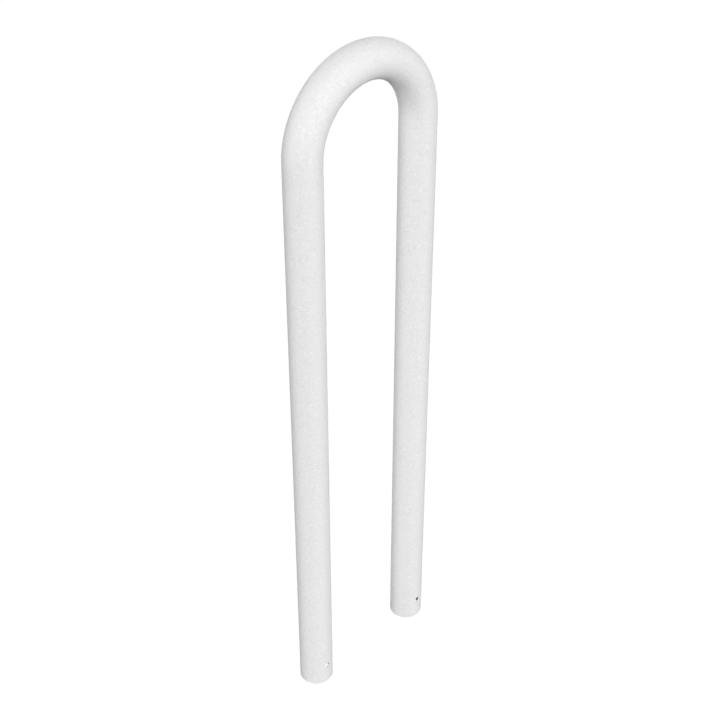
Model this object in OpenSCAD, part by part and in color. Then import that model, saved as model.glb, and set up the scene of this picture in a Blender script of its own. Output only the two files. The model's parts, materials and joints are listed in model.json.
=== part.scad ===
// Hoop barrier: one steel hoop on two legs, set in the ground beside a door, a kerb or a cycle bay.
// X runs along the hoop's width, Y across it and Z up. The origin is midway between the cut ends of the legs.

/* [Tube] */
// Outside diameter of the steel tube
tube_d = 60.3; // [42.4:0.1:76.1]
// Wall thickness of the tube
tube_wall = 2; // [1.5:0.1:4]
// Size of the broken edges at the cut ends of the legs
end_break = 0.3; // [0.1:0.1:0.6]

/* [Hoop] */
// Overall height, from the cut ends to the crown of the bend
hoop_h = 1200; // [600:10:1600]
// Radius of the bend, measured to the centreline of the tube
bend_r = 120; // [80:5:400]
// Straight stub at each end of the bend, down to the weld
stub_l = 50; // [20:5:120]

/* [Anchor holes] */
// Diameter of the cross hole that takes an anchor bar
anchor_d = 10; // [6:0.5:16]
// Height of the cross hole's centre above the cut end
anchor_z = 40; // [20:1:120]

/* [Welds] */
// Width of the weld at the outside of the tube, where it is dressed flush
weld_face = 5; // [4:0.5:8]
// Width of the weld at the bore of the tube
weld_root = 3; // [2:0.5:4]
// Height of the root bead inside the bore
weld_rise = 0.6; // [0.2:0.1:1]

/* [Hidden] */

COAT = [0.91, 0.91, 0.91];
LEFT = -1;
RIGHT = 1;
$fn = 96;

tube_r = tube_d / 2;
bore_r = tube_r - tube_wall;
spring_z = hoop_h - tube_r - bend_r; // where the legs end and the bend begins to curve
seam_z = spring_z - stub_l;          // mid-height of each weld
drill_l = 2 * tube_d;                // long enough to cross both walls of the tube
root_arc_r = (pow(weld_root / 2, 2) + pow(weld_rise, 2)) / (2 * weld_rise);

// Places a piece that turns about the centreline of one leg
module on_leg(side) {
    translate([side * bend_r, 0, 0]) children();
}

// Half section of a leg: edges broken at the cut end, and a bevel where it meets the weld
module leg_section() {
    polygon([
        [bore_r + end_break, 0],
        [tube_r - end_break, 0],
        [tube_r, end_break],
        [tube_r, seam_z - weld_face / 2],
        [bore_r, seam_z - weld_root / 2],
        [bore_r, end_break]
    ]);
}

// Half section of a stub: it meets the weld with the same bevel and ends where the bend starts
module stub_section() {
    polygon([
        [bore_r, seam_z + weld_root / 2],
        [tube_r, seam_z + weld_face / 2],
        [tube_r, spring_z],
        [bore_r, spring_z]
    ]);
}

// Half section of a weld: it fills the bevels, flush outside, with a shallow round bead in the bore
module weld_section() {
    polygon([
        [bore_r, -weld_root / 2],
        [tube_r, -weld_face / 2],
        [tube_r, weld_face / 2],
        [bore_r, weld_root / 2]
    ]);
    intersection() {
        translate([bore_r - weld_rise + root_arc_r, 0]) circle(r = root_arc_r);
        translate([bore_r - weld_rise, -weld_root / 2]) square([weld_rise + tube_wall / 2, weld_root]);
    }
}

// Straight leg with its anchor hole drilled through both walls, square to the hoop
module leg(side) {
    color(COAT) on_leg(side) difference() {
        rotate_extrude() leg_section();
        translate([0, 0, anchor_z]) rotate([90, 0, 0]) cylinder(h = drill_l, d = anchor_d, center = true);
    }
}

// Half-turn bend with a straight stub at each end
module top_bend() {
    color(COAT) union() {
        translate([0, 0, spring_z]) rotate([90, 0, 0]) rotate_extrude(angle = 180)
            translate([bend_r, 0]) difference() {
                circle(r = tube_r);
                circle(r = bore_r);
            }
        for (side = [LEFT, RIGHT]) on_leg(side) rotate_extrude() stub_section();
    }
}

// Butt weld between a leg and the bend
module weld(side) {
    color(COAT) on_leg(side) translate([0, 0, seam_z]) rotate_extrude() weld_section();
}

leg(LEFT);  // left_leg
leg(RIGHT);  // right_leg
top_bend();
weld(LEFT);  // left_weld
weld(RIGHT);  // right_weld
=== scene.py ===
"""A hoop barrier in white powder coat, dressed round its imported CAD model.

X runs along the hoop's width, Y across it and Z up, in metres. The hoop stands on its cut ends at z = 0.
"""

import json
import math

import bpy
from mathutils import Matrix, Vector


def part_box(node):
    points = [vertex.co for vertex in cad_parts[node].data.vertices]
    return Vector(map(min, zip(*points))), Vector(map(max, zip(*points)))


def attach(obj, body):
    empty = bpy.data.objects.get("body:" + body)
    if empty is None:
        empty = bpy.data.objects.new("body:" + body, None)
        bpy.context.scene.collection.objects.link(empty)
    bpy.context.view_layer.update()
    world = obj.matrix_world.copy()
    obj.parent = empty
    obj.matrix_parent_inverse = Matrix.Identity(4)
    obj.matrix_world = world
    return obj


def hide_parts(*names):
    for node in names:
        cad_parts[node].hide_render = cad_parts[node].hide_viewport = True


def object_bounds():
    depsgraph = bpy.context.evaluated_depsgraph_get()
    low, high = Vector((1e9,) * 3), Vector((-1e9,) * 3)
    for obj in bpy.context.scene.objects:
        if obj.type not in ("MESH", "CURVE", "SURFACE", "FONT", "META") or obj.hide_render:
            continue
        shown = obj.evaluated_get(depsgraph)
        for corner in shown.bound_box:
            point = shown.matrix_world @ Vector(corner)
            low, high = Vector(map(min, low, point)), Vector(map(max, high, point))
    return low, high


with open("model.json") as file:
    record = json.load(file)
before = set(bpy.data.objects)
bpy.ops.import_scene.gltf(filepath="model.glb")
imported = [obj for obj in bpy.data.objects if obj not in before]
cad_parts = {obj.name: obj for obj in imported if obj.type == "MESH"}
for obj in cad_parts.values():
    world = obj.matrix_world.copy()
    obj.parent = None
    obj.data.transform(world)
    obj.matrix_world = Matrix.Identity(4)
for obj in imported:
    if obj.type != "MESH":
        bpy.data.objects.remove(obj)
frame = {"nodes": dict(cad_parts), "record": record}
cad_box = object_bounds()

MM = 0.001
LEFT = -1
RIGHT = 1


def mount(name):
    """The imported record's mount of that name."""
    return next(m for m in frame["record"]["mounts"] if m["name"] == name)


# Sizes that the frame gives. The bend starts at bend_z, above its stubs. A leg's outer wall ends where its
# weld starts, and its bore at the leg's own top.
leg_low, leg_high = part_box("right_leg")
weld_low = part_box("right_weld")[0]
tube_r = (leg_high.x - leg_low.x) / 2
leg_x = (leg_high.x + leg_low.x) / 2
bend_z = cad_box[1].z - tube_r - leg_x
bore_r = mount("right_leg_bore")["dims"]["r_mm"] * MM
hole_r = mount("right_anchor_hole")["dims"]["r_mm"] * MM
hole_z = mount("right_anchor_hole")["pos_m"][2]

# The round edges of a leg, as the coat leaves them
FOOT_ROUND = 0.4 * MM
HOLE_ROUND = 0.8 * MM
HOLE_ROUND_INSIDE = 1.0 * MM
ROUND_STEPS = 4

# The tube's own seam: a low bead down the bore, on the side that faces the other leg
BEAD_HALF_W = 0.95 * MM
BEAD_H = 0.25 * MM
BEAD_STEPS = 4

# The grid of a leg's wall. Its first column keeps clear of both holes.
COLUMNS = 128
FIRST_COLUMN = -3 * COLUMNS // 8
FOOT_ROWS = 5
LONG_ROWS = 24
HOLE_ANGLES = (0, math.pi)
column_step = 2 * math.pi / COLUMNS
cell = column_step * tube_r

# Each hole sits in a square patch of the grid. The patch's rings start at the lower left, turn from square to
# round and crowd towards the hole.
PATCH_CELLS = 6
PATCH_RINGS = 6
PATCH_CROWDING = 0.7
PATCH_START = -3 * math.pi / 4
patch_half = PATCH_CELLS * cell
patch_half_angle = PATCH_CELLS * column_step


class Skin:
    """Gathers points, each with its own normal, and the faces between rings of them."""

    def __init__(self):
        self.places = []
        self.normals = []
        self.faces = []
        self.flat_faces = set()

    def point(self, place, normal):
        self.places.append(place)
        self.normals.append(normal.normalized())
        return len(self.places) - 1

    def band(self, first, second, flat=False):
        """Faces between two rings of as many points. Flat ones meet their neighbours sharply."""
        start = len(self.faces)
        for i in range(len(first)):
            self.faces.append((first[i - 1], first[i], second[i], second[i - 1]))
        if flat:
            self.flat_faces.update(range(start, len(self.faces)))

    def sleeve(self, rings):
        """A band from each ring to the next."""
        for first, second in zip(rings, rings[1:]):
            self.band(first, second)

    def build(self, name):
        mesh = bpy.data.meshes.new(name)
        mesh.from_pydata(self.places, [], self.faces)
        mesh.polygons.foreach_set("use_smooth", [True] * len(mesh.polygons))
        corners = []
        for face in mesh.polygons:
            flat = face.index in self.flat_faces
            corners += [face.normal if flat else self.normals[point] for point in face.vertices]
        mesh.normals_split_custom_set(corners)
        piece = bpy.data.objects.new(name, mesh)
        bpy.context.scene.collection.objects.link(piece)
        return piece


def spread(start, end, steps):
    """Even steps from start to end, without the end."""
    return [start + (end - start) * i / steps for i in range(steps)]


def outward(angle):
    """Straight out of the tube, at an angle that runs from -Y towards +X."""
    return Vector((math.sin(angle), -math.cos(angle), 0))


def onward(angle):
    """Round the tube, at that angle."""
    return Vector((math.cos(angle), math.sin(angle), 0))


def ring_angles(bead_angle):
    """Even steps round the tube, with finer ones added at the bead."""
    angles = [column_step * k for k in range(FIRST_COLUMN, FIRST_COLUMN + COLUMNS)]
    for step in range(1, BEAD_STEPS):
        offset = BEAD_HALF_W / bore_r * step / BEAD_STEPS
        angles += [bead_angle - offset, bead_angle + offset]
    return sorted(angles)


def row_heights(top):
    """Heights of the rings of a leg's wall: below the holes, across them and on to the top."""
    low = hole_z - patch_half
    high = hole_z + patch_half
    below = spread(FOOT_ROUND, low, FOOT_ROWS)
    across = spread(low, high, 2 * PATCH_CELLS)
    above = spread(high, top, LONG_ROWS)
    return below + across + above + [top]


def wall_point(skin, axis, radius, facing, angle, z, bead_angle=None):
    """Adds a point on a leg's wall. In the bore the wall swells a little at the seam bead."""
    rise = 0.0
    slope = 0.0
    if bead_angle is not None and abs(angle - bead_angle) * radius < BEAD_HALF_W:
        turn = (angle - bead_angle) * radius / BEAD_HALF_W * math.pi
        rise = BEAD_H * (1 + math.cos(turn)) / 2
        slope = -BEAD_H * math.sin(turn) * math.pi / BEAD_HALF_W / 2
    place = axis + outward(angle) * (radius - rise) + Vector((0, 0, z))
    return skin.point(place, (outward(angle) + onward(angle) * slope) * facing)


def patch_edge(middle, angles, rows):
    """The grid places round a hole's patch, from its lower left corner, as (row, column)."""
    aside = patch_half_angle + column_step / 2
    above = patch_half + cell / 2
    columns = [j for j, angle in enumerate(angles) if abs(angle - middle) < aside]
    heights = [i for i, z in enumerate(rows) if abs(z - hole_z) < above]
    lower = [(heights[0], j) for j in columns[:-1]]
    right = [(i, columns[-1]) for i in heights[:-1]]
    upper = [(heights[-1], j) for j in columns[:0:-1]]
    left = [(i, columns[0]) for i in heights[:0:-1]]
    return lower + right + upper + left


def patch_turns(count):
    """Even turns round a hole, from its lower left."""
    return spread(PATCH_START, PATCH_START + 2 * math.pi, count)


def leg_wall(skin, axis, radius, facing, top, rim_r, angles, bead_angle=None):
    """One face of a leg's wall, outside (facing 1) or in the bore (facing -1).

    Returns its rings at the foot and at the top, and the rim of each hole.
    """
    rows = row_heights(top)
    grid = {}
    for i, z in enumerate(rows):
        for j, angle in enumerate(angles):
            beside = min(abs(angle - middle) for middle in HOLE_ANGLES)
            above = abs(z - hole_z)
            if beside >= patch_half_angle - column_step / 2 or above >= patch_half - cell / 2:
                grid[i, j] = wall_point(skin, axis, radius, facing, angle, z, bead_angle)
    for i in range(len(rows) - 1):
        for j in range(len(angles)):
            k = (j + 1) % len(angles)
            corners = [(i, j), (i, k), (i + 1, k), (i + 1, j)][::facing]
            if all(corner in grid for corner in corners):
                skin.faces.append(tuple(grid[corner] for corner in corners))
    rims = []
    for middle in HOLE_ANGLES:
        edge = patch_edge(middle, angles, rows)
        outer = [grid[place] for place in edge]
        for ring in range(1, PATCH_RINGS + 1):
            share = (ring / PATCH_RINGS) ** PATCH_CROWDING
            inner = []
            for (i, j), turn in zip(edge, patch_turns(len(edge))):
                rim_angle = middle + math.asin(rim_r * math.cos(turn) / radius)
                rim_z = hole_z + rim_r * math.sin(turn)
                angle = angles[j] + (rim_angle - angles[j]) * share
                z = rows[i] + (rim_z - rows[i]) * share
                inner.append(wall_point(skin, axis, radius, facing, angle, z))
            skin.band(*(outer, inner)[::facing])
            outer = inner
        rims.append(outer)
    foot = [grid[0, j] for j in range(len(angles))]
    crest = [grid[len(rows) - 1, j] for j in range(len(angles))]
    return foot, crest, rims


def hole_edge(skin, axis, middle, radius, facing, reach, turns):
    """Rings of a hole's round edge, from where the wall turns in to the straight part of the hole."""
    rings = []
    for step in range(1, ROUND_STEPS + 1):
        tilt = math.pi / 2 * step / ROUND_STEPS
        r = hole_r + reach * (1 - math.sin(tilt))
        ring = []
        for turn in turns:
            wall_depth = math.sqrt(radius**2 - (r * math.cos(turn)) ** 2)
            depth = wall_depth - facing * reach * (1 - math.cos(tilt))
            spoke = onward(middle) * math.cos(turn) + Vector((0, 0, math.sin(turn)))
            place = axis + outward(middle) * depth + spoke * r + Vector((0, 0, hole_z))
            out = outward(middle + math.asin(r * math.cos(turn) / radius)) * facing
            ring.append(skin.point(place, out * math.cos(tilt) - spoke * math.sin(tilt)))
        rings.append(ring)
    return rings


def foot_edge(skin, axis, radius, facing, angles):
    """Rings of the cut end's round edge, from the wall down to the flat of the cut."""
    rings = []
    for step in range(1, ROUND_STEPS + 1):
        tilt = math.pi / 2 * step / ROUND_STEPS
        r = radius - facing * FOOT_ROUND * (1 - math.cos(tilt))
        z = FOOT_ROUND * (1 - math.sin(tilt))
        ring = []
        for angle in angles:
            place = axis + outward(angle) * r + Vector((0, 0, z))
            normal = outward(angle) * facing * math.cos(tilt) - Vector((0, 0, math.sin(tilt)))
            ring.append(skin.point(place, normal))
        rings.append(ring)
    return rings


def leg(side, name):
    """A leg with its cut end and anchor hole rounded by the coat, and the tube's seam bead down its bore."""
    skin = Skin()
    axis = Vector((side * leg_x, 0, 0))
    bead_angle = -side * math.pi / 2
    angles = ring_angles(bead_angle)
    foot, crest, rims = leg_wall(skin, axis, tube_r, 1, weld_low.z, hole_r + HOLE_ROUND, angles)
    bore_foot, bore_crest, bore_rims = leg_wall(
        skin, axis, bore_r, -1, leg_high.z, hole_r + HOLE_ROUND_INSIDE, angles, bead_angle
    )
    for middle, rim, bore_rim in zip(HOLE_ANGLES, rims, bore_rims):
        turns = patch_turns(len(rim))
        outer = hole_edge(skin, axis, middle, tube_r, 1, HOLE_ROUND, turns)
        inner = hole_edge(skin, axis, middle, bore_r, -1, HOLE_ROUND_INSIDE, turns)
        skin.sleeve([rim, *outer, *inner[::-1], bore_rim])
    outer = foot_edge(skin, axis, tube_r, 1, angles)
    inner = foot_edge(skin, axis, bore_r, -1, angles)
    skin.sleeve([bore_foot, *inner, *outer[::-1], foot])
    skin.band(crest, bore_crest, flat=True)
    return skin.build(name)


class Wire:
    """A shader socket's output. Python sums and products of wires and numbers add Math nodes."""

    def __init__(self, board, socket):
        self.board = board
        self.socket = socket

    def other(self, name):
        """Another output of the same node."""
        return Wire(self.board, self.socket.node.outputs[name])

    def __add__(self, other):
        return self.board.math("ADD", self, other)

    def __sub__(self, other):
        return self.board.math("SUBTRACT", self, other)

    def __rsub__(self, other):
        return self.board.math("SUBTRACT", other, self)

    def __mul__(self, other):
        return self.board.math("MULTIPLY", self, other)

    def __pow__(self, other):
        return self.board.math("POWER", self, other)

    __radd__ = __add__
    __rmul__ = __mul__


# Where a Mix node that mixes colours has its share, its two colours and its result
MIX_SHARE = 0
MIX_LOW = 6
MIX_HIGH = 7
MIX_RESULT = 2


class Board:
    """The node tree of one material or of the world."""

    def __init__(self, owner):
        owner.use_nodes = True
        self.tree = owner.node_tree
        self.tree.nodes.clear()

    def add(self, kind, settings, sockets):
        """Adds a node with its settings, then the values or wires of its sockets."""
        node = self.tree.nodes.new(kind)
        for name, value in settings.items():
            setattr(node, name, value)
        for name, value in sockets.items():
            if isinstance(value, Wire):
                self.tree.links.new(value.socket, node.inputs[name])
            else:
                node.inputs[name].default_value = value
        return node

    def node(self, kind, settings=None, sockets=None, output=0):
        """The wire of one output of a new node."""
        return Wire(self, self.add(kind, settings or {}, sockets or {}).outputs[output])

    def end(self, kind, shader):
        """The output node, which shows that shader."""
        self.add(kind, {}, {"Surface": shader})

    def math(self, operation, *values):
        return self.node("ShaderNodeMath", {"operation": operation}, dict(enumerate(values)))

    def blend(self, share, low, high):
        """Two colours mixed."""
        sockets = {MIX_SHARE: share}
        for place, colour in ((MIX_LOW, low), (MIX_HIGH, high)):
            sockets[place] = colour if isinstance(colour, Wire) else (*colour, 1)
        return self.node("ShaderNodeMix", {"data_type": "RGBA"}, sockets, MIX_RESULT)

    def ramp(self, value, low, high):
        """A smooth step: 0 up to low and 1 from high on. With low above high it falls."""
        return self.node(
            "ShaderNodeMapRange",
            {"interpolation_type": "SMOOTHSTEP"},
            {"Value": value, "From Min": low, "From Max": high},
        )

    def noise(self, place, grain, detail=2.0, roughness=0.5):
        """Cloudy noise whose blotches are about that many metres across."""
        return self.node(
            "ShaderNodeTexNoise",
            sockets={"Vector": place, "Scale": 1 / grain, "Detail": detail, "Roughness": roughness},
        )


# What Blender's noise swings about
NOISE_MIDDLE = 0.5

# Powder coat, from dull to pale, with COAT_TONE as its place between them on average
COAT_PALE = (0.966, 0.966, 0.966)
COAT_DULL = (0.806, 0.806, 0.806)
COAT_TONE = 0.36
COAT_ROUGHNESS = 0.62
COAT_ROUGHNESS_SWING = 0.1
COAT_SPECULAR = 0.15

# Its speckle: a grain with finer pits in it, and the grain's share of the colour and of the relief. Specks
# well above or below the average are made stronger, as flecks.
COAT_GRAIN = 3.8 * MM
COAT_GRAIN_DETAIL = 3
COAT_GRAIN_EDGE = 0.6
COAT_PITS = 1.3 * MM
COAT_PITS_DETAIL = 1
GRAIN_IN_COLOUR = 0.8
GRAIN_IN_RELIEF = 0.6
COAT_FLECKS = 90
COAT_BUMP = 0.47 * MM

# The speckle's strength goes from WEAK_SPECKLE, between the coat's clouds, to 1 more inside them
COAT_CLOUDS = 20 * MM
CLOUD_STARTS = 0.35
CLOUD_FULL = 0.65
WEAK_SPECKLE = 0.5

# Dull galvanised steel in the bore. ZINC_SMOOTHING is the share of the coat's relief that it lacks.
ZINC_PALE = (0.3, 0.3, 0.31)
ZINC_DULL = (0.18, 0.18, 0.19)
ZINC_SPANGLE = 7 * MM
SPANGLE_IN_COLOUR = 0.7
ZINC_METALLIC = 0.15
ZINC_SMOOTHING = 0.7

# How far the powder reaches in, over which length it fades, and how big the waves of its edge are
COAT_REACH_AT_FOOT = 3 * MM
COAT_REACH_AT_HOLE = 8 * MM
COAT_REACH_FADE = 2 * MM
COAT_REACH_WAVER = 9 * MM

# From the bore's face into the wall: how far the bare steel is whole, and where it ends
BARE_WHOLE = 0.2 * MM
BARE_ENDS = 0.5 * MM


def bore_mask(board, place):
    """1 on the bare bore and 0 on the coat, which reaches a little way in at the cut end and the hole."""
    split = board.node("ShaderNodeSeparateXYZ", sockets={0: place})
    x, y, z = (split.other(axis) for axis in "XYZ")
    climb = board.math("MAXIMUM", z - bend_z, 0.0)
    across = board.math("SQRT", x * x + climb * climb) - leg_x
    from_centreline = board.math("SQRT", across * across + y * y)
    inside = board.ramp(from_centreline, bore_r + BARE_ENDS, bore_r + BARE_WHOLE)
    waver = (board.noise(place, COAT_REACH_WAVER) - NOISE_MIDDLE) * COAT_REACH_FADE
    above_foot = board.ramp(z + waver, COAT_REACH_AT_FOOT - COAT_REACH_FADE, COAT_REACH_AT_FOOT)
    aside = board.math("ABSOLUTE", x) - leg_x
    up = z - hole_z
    from_hole = board.math("SQRT", aside * aside + up * up)
    past_hole = board.ramp(from_hole + waver, COAT_REACH_AT_HOLE - COAT_REACH_FADE, COAT_REACH_AT_HOLE)
    return inside * above_foot * past_hole


def powder_coat():
    """White powder coat with a fine grain, over galvanised steel that stays bare in the bore."""
    material = bpy.data.materials.new("white_powder_coat")
    board = Board(material)
    place = board.node("ShaderNodeTexCoord", output="Object")
    grain = board.noise(place, COAT_GRAIN, COAT_GRAIN_DETAIL, COAT_GRAIN_EDGE)
    pits = board.noise(place, COAT_PITS, COAT_PITS_DETAIL)
    clouds = board.noise(place, COAT_CLOUDS)
    bare = bore_mask(board, place)

    strength = board.ramp(clouds, CLOUD_STARTS, CLOUD_FULL) + WEAK_SPECKLE
    swing = grain * GRAIN_IN_COLOUR + pits * (1 - GRAIN_IN_COLOUR) - NOISE_MIDDLE
    speckle = (swing + swing * swing * swing * COAT_FLECKS) * strength + COAT_TONE
    coat = board.blend(speckle, COAT_DULL, COAT_PALE)

    cells = {"Vector": place, "Scale": 1 / ZINC_SPANGLE}
    crystal = board.node("ShaderNodeTexVoronoi", sockets=cells, output="Color")
    spangle = board.node("ShaderNodeSeparateColor", sockets={0: crystal})
    tint = spangle * SPANGLE_IN_COLOUR + clouds * (1 - SPANGLE_IN_COLOUR)
    zinc = board.blend(tint, ZINC_DULL, ZINC_PALE)

    relief = (grain * GRAIN_IN_RELIEF + pits * (1 - GRAIN_IN_RELIEF) - NOISE_MIDDLE) * strength
    height = relief * (1 - bare * ZINC_SMOOTHING)
    surface = board.node(
        "ShaderNodeBsdfPrincipled",
        sockets={
            "Base Color": board.blend(bare, coat, zinc),
            "Roughness": COAT_ROUGHNESS + (grain - NOISE_MIDDLE) * COAT_ROUGHNESS_SWING,
            "Metallic": bare * ZINC_METALLIC,
            "Specular IOR Level": COAT_SPECULAR,
            "Normal": board.node("ShaderNodeBump", sockets={"Height": height, "Distance": COAT_BUMP}),
        },
    )
    board.end("ShaderNodeOutputMaterial", surface)
    return material


# The lamps: degrees round from -Y towards +X, degrees up, width in degrees and strength
LAMPS = {
    "key": (-32, 22, 40, 2.48),
    "right": (45, 8, 30, 1.22),
    "back": (135, 35, 60, 1.06),
    "low_back": (135, -21, 16, 1.4),
}

# The wall, by the same two angles, and the dome. The wall's light falls off with that power of the cosine.
WALL_AT = (-120, 10)
WALL_LIGHT = 1.85
WALL_FALLOFF = 4
DOME_LIGHT = 0.03

FLOOR_COLOUR = (0.07, 0.07, 0.07)
FLOOR_GLOW = 0.96
FLOOR_R = 25.0
FLOOR_CORNERS = 64


def toward(azimuth, elevation):
    """The direction from the hoop to a light."""
    a = math.radians(azimuth)
    e = math.radians(elevation)
    return Vector((math.sin(a) * math.cos(e), -math.cos(a) * math.cos(e), math.sin(e)))


def seen_directly(board):
    """1 for what is seen, straight or in gloss and glass, and 0 for the light that falls on the hoop."""
    ray = board.node("ShaderNodeLightPath", output="Is Camera Ray")
    either = board.math("MAXIMUM", ray, ray.other("Is Glossy Ray"))
    return board.math("MAXIMUM", either, ray.other("Is Transmission Ray"))


def studio_world():
    """A dim dome with one broad pale wall for the light, and plain white for what is seen."""
    world = bpy.data.worlds.new("studio")
    bpy.context.scene.world = world
    board = Board(world)
    place = board.node("ShaderNodeTexCoord", output="Generated")
    sides = {0: place, 1: toward(*WALL_AT)}
    cosine = board.node("ShaderNodeVectorMath", {"operation": "DOT_PRODUCT"}, sides, "Value")
    light = board.math("MAXIMUM", cosine, 0.0) ** WALL_FALLOFF * WALL_LIGHT + DOME_LIGHT
    seen = seen_directly(board)
    level = seen + (1 - seen) * light
    glow = board.node("ShaderNodeBackground", sockets={"Color": (1, 1, 1, 1), "Strength": level})
    board.end("ShaderNodeOutputWorld", glow)


def studio_floor():
    """A round floor that is seen as white, and throws only a little light up at the hoop."""
    mesh = bpy.data.meshes.new("floor")
    turns = spread(0, 2 * math.pi, FLOOR_CORNERS)
    corners = [(FLOOR_R * math.cos(turn), FLOOR_R * math.sin(turn), 0) for turn in turns]
    mesh.from_pydata(corners, [], [tuple(range(FLOOR_CORNERS))])
    floor = bpy.data.objects.new("floor", mesh)
    bpy.context.scene.collection.objects.link(floor)
    material = bpy.data.materials.new("pale_floor")
    board = Board(material)
    pale = board.node("ShaderNodeBsdfDiffuse", sockets={"Color": (*FLOOR_COLOUR, 1)})
    glow = board.node("ShaderNodeEmission", sockets={"Strength": seen_directly(board) * FLOOR_GLOW})
    board.end("ShaderNodeOutputMaterial", board.node("ShaderNodeAddShader", sockets={0: pale, 1: glow}))
    mesh.materials.append(material)
    return floor


def studio_lamps(floor):
    """Soft lights: a little to the right of the camera, on the right, and high and low behind the hoop.

    The low one stands in for light that a pale ground throws up, so the floor doesn't block it.
    """
    unblocked = bpy.data.collections.new("floor_lets_through")
    unblocked.objects.link(floor)
    unblocked.collection_objects[0].light_linking.link_state = "EXCLUDE"
    for name, (azimuth, elevation, width, strength) in LAMPS.items():
        light = bpy.data.lights.new(name, "SUN")
        light.angle = math.radians(width)
        light.energy = strength
        lamp = bpy.data.objects.new(name, light)
        lamp.rotation_euler = toward(azimuth, elevation).to_track_quat("Z", "Y").to_euler()
        bpy.context.scene.collection.objects.link(lamp)
        if elevation < 0:
            lamp.light_linking.blocker_collection = unblocked


# The camera, from a fit of the hoop's edges to the photograph at the part's real size. Angles are in radians.
CAMERA_AT = Vector((-1.2669, -1.2824, 1.9021))
CAMERA_YAW = 0.7773
CAMERA_PITCH = 0.6066
CAMERA_ROLL = -0.0011
CAMERA_SEES_FROM = 0.05
CAMERA_SEES_TO = 100.0
FOCAL_PIXELS = 1332.29
PHOTO_PIXELS = 720
SENSOR = 36.0


def photo_camera():
    data = bpy.data.cameras.new("camera")
    data.sensor_width = SENSOR
    data.lens = FOCAL_PIXELS / PHOTO_PIXELS * SENSOR
    data.clip_start = CAMERA_SEES_FROM
    data.clip_end = CAMERA_SEES_TO
    camera = bpy.data.objects.new("camera", data)
    turn = Matrix.Rotation(-CAMERA_YAW, 4, "Z")
    tip = Matrix.Rotation(math.pi / 2 - CAMERA_PITCH, 4, "X")
    roll = Matrix.Rotation(CAMERA_ROLL, 4, "Z")
    camera.matrix_world = Matrix.Translation(CAMERA_AT) @ turn @ tip @ roll
    bpy.context.scene.collection.objects.link(camera)
    bpy.context.scene.camera = camera


def main():
    coat = powder_coat()
    for side, name in ((LEFT, "left"), (RIGHT, "right")):
        piece = leg(side, name + "_leg_tube")
        piece.data.materials.append(coat)
        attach(piece, "root")
        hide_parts(name + "_leg")
    for name in ("top_bend", "left_weld", "right_weld"):
        frame["nodes"][name].material_slots[0].material = coat
    studio_world()
    studio_lamps(studio_floor())
    photo_camera()
    bpy.context.scene.view_settings.view_transform = "Standard"


main()
